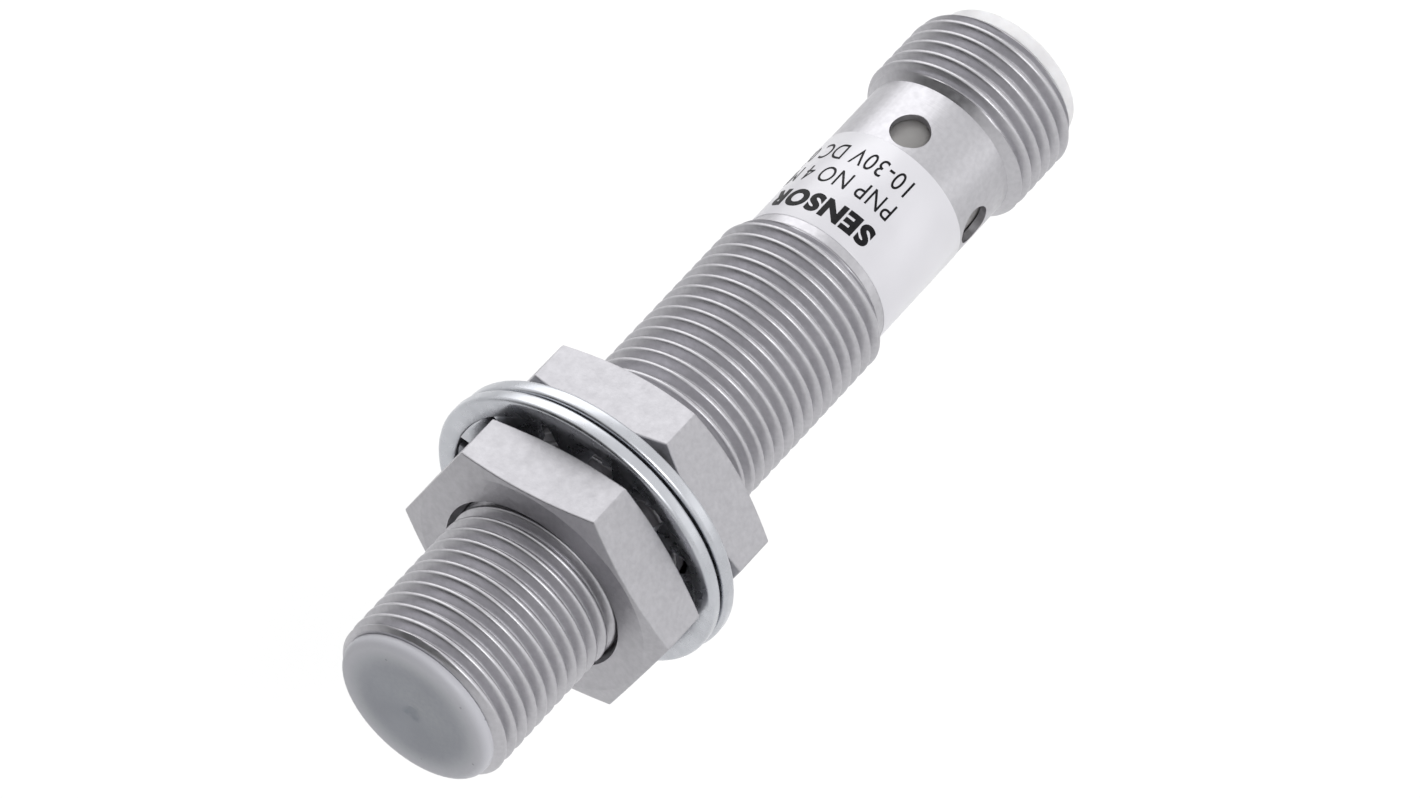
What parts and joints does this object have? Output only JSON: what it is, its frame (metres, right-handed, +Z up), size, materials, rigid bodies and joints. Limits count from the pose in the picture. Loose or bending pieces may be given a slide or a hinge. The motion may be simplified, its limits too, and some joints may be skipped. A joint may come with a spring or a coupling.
{
  "type": "inductive proximity sensor",
  "caption": "Threaded cylindrical M12 proximity sensor with a flush plastic sensing face, two lock nuts, two toothed lock washers and a male M12 connector.",
  "frame": {"origin": "centre of the flat sensing face at the front of the barrel", "axes": "+X along the barrel axis from the sensing face towards the connector, +Z up, 3.5 degrees from the axis of one of the four LED windows, +Y to the side"},
  "size_m": [0.0614, 0.0207, 0.0206],
  "materials": {
    "nickel_plated_brass": "satin nickel plating on turned and threaded brass",
    "nut_nickel": "satin nickel plating, softly blasted",
    "bright_zinc_steel": "bright zinc plating, nearly mirror smooth",
    "cap_plastic": "satin moulded plastic, pale blue-grey",
    "translucent_plastic": "moulded translucent natural plastic",
    "label_film": "glossy white label film, plain grey bars printed on it",
    "black_rubber": "matt moulded rubber",
    "ferrite": "sintered dark grey ceramic",
    "copper_wire": "enamelled copper",
    "shield_brass": "plain drawn brass",
    "bobbin_plastic": "natural moulded plastic",
    "black_plastic": "moulded black plastic and epoxy",
    "board_laminate": "glass laminate with green solder resist",
    "potting_resin": "cast grey resin",
    "ceramic": "fired ceramic",
    "amber_lens": "clear amber resin",
    "gold_plate": "gold-plated turned brass"
  },
  "bodies": {
    "housing": {"barrel_housing": "nickel_plated_brass", "sensing_cap": "cap_plastic", "cap_seal_ring": "black_rubber", "wrap_label": "label_film", "ferrite_core": "ferrite", "coil_bobbin": "bobbin_plastic", "coil_winding": "copper_wire", "shield_ring": "shield_brass", "coil_holder": "black_plastic", "coil_lead_left": "copper_wire", "coil_lead_right": "copper_wire", "circuit_board": "board_laminate", "oscillator_chip": "black_plastic", "output_transistor": "black_plastic", "protection_diode": "black_plastic", "surge_suppressor": "ceramic", "resonance_capacitor": "ceramic", "supply_capacitor": "ceramic", "trimming_resistor": "black_plastic", "status_led_top": "amber_lens", "status_led_bottom": "amber_lens", "potting_resin": "potting_resin", "contact_carrier": "translucent_plastic", "carrier_seal_ring": "black_rubber", "contact_pin_1": "gold_plate", "contact_pin_2": "gold_plate", "contact_pin_3": "gold_plate", "contact_pin_4": "gold_plate"},
    "front_lock_washer": {"front_washer": "bright_zinc_steel"},
    "front_lock_nut": {"front_nut": "nut_nickel"},
    "rear_lock_washer": {"rear_washer": "bright_zinc_steel"},
    "rear_lock_nut": {"rear_nut": "nut_nickel"}
  },
  "joints": [
    {"name": "front_nut_travel", "type": "slide", "parent": "housing", "child": "front_lock_washer", "axis": [-1, 0, 0], "range_m": [0, 0.01085]},
    {"name": "front_nut_turn", "type": "hinge", "parent": "front_lock_washer", "child": "front_lock_nut", "pos_m": [0.01387, 0, 0], "axis": [-1, 0, 0], "range_deg": [0, 3888]},
    {"name": "rear_nut_travel", "type": "slide", "parent": "housing", "child": "rear_lock_washer", "axis": [1, 0, 0], "range_m": [0, 0.0169]},
    {"name": "rear_nut_turn", "type": "hinge", "parent": "rear_lock_washer", "child": "rear_lock_nut", "pos_m": [0.02102, 0, 0], "axis": [1, 0, 0], "range_deg": [0, 6066]}
  ],
  "couplings": [
    {"joint": "front_nut_travel", "follows": "front_nut_turn", "m_per_rad": 0.00015915},
    {"joint": "rear_nut_travel", "follows": "rear_nut_turn", "m_per_rad": 0.00015915}
  ]
}
